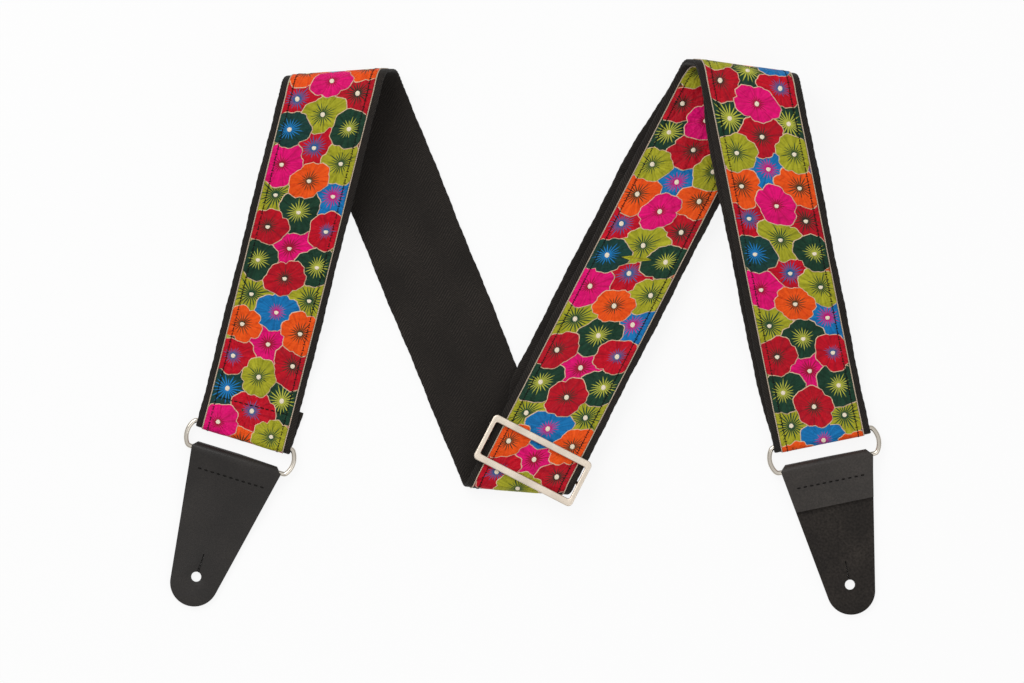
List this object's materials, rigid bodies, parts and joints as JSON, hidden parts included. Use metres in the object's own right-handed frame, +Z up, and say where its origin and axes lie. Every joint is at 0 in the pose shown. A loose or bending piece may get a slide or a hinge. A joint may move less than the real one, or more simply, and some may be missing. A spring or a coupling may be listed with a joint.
{
  "type": "guitar strap",
  "caption": "Adjustable webbing guitar strap with a flowered ribbon face, a sliding metal buckle and leather button tabs hinged on wire rings, laid out folded",
  "frame": {"origin": "centre of the strap's outline as it lies, on the surface it lies on", "axes": "+X runs across the M from the left ring's leg to the right ring's leg, +Y runs from the tabs towards the two upper folds, +Z is up from the surface"},
  "size_m": [0.3536, 0.2763, 0.03],
  "materials": {
    "webbing_black": "woven black webbing",
    "ribbon_pattern": "woven ribbon with a packed pattern of flowers",
    "thread_black": "black sewing thread",
    "nickel": "bright nickel-plated wire",
    "nickel_satin": "satin nickel plate",
    "leather_grain": "smooth black grain leather",
    "leather_flesh": "black leather, fuzzy flesh side out"
  },
  "bodies": {
    "strap": {"webbing": "webbing_black", "webbing_tail": "webbing_black", "ribbon": "ribbon_pattern", "ribbon_tail": "ribbon_pattern", "ribbon_stitching": "thread_black", "ribbon_tail_stitching": "thread_black", "ring_seam": "thread_black"},
    "ring_left": {"left_ring": "nickel"},
    "tab_left": {"left_tab": "leather_grain", "left_tab_stitching": "thread_black"},
    "ring_right": {"right_ring": "nickel"},
    "tab_right": {"right_tab": "leather_flesh", "right_tab_stitching": "thread_black"},
    "buckle": {"slider": "nickel_satin", "slider_hem": "webbing_black", "slider_seam": "thread_black"}
  },
  "joints": [
    {"name": "left_ring_hinge", "type": "hinge", "parent": "strap", "child": "ring_left", "pos_m": [-0.13987, -0.04878, 0.00355], "axis": [-0.9563, 0.2924, 0], "range_deg": [-60, 60]},
    {"name": "left_tab_hinge", "type": "hinge", "parent": "ring_left", "child": "tab_left", "pos_m": [-0.1437, -0.06131, 0.00355], "axis": [-0.9563, 0.2924, 0], "range_deg": [-100, 100]},
    {"name": "right_ring_hinge", "type": "hinge", "parent": "strap", "child": "ring_right", "pos_m": [0.14717, -0.05018, 0.00355], "axis": [-0.9796, -0.2011, 0], "range_deg": [-60, 60]},
    {"name": "right_tab_hinge", "type": "hinge", "parent": "ring_right", "child": "tab_right", "pos_m": [0.14981, -0.06301, 0.00355], "axis": [-0.9796, -0.2011, 0], "range_deg": [-100, 100]},
    {"name": "buckle_slide", "type": "slide", "parent": "strap", "child": "buckle", "axis": [0.457, 0.8893, -0.0171], "range_m": [0, 0.12], "deforming": ["webbing_tail", "ribbon_tail", "ribbon_tail_stitching"]}
  ]
}
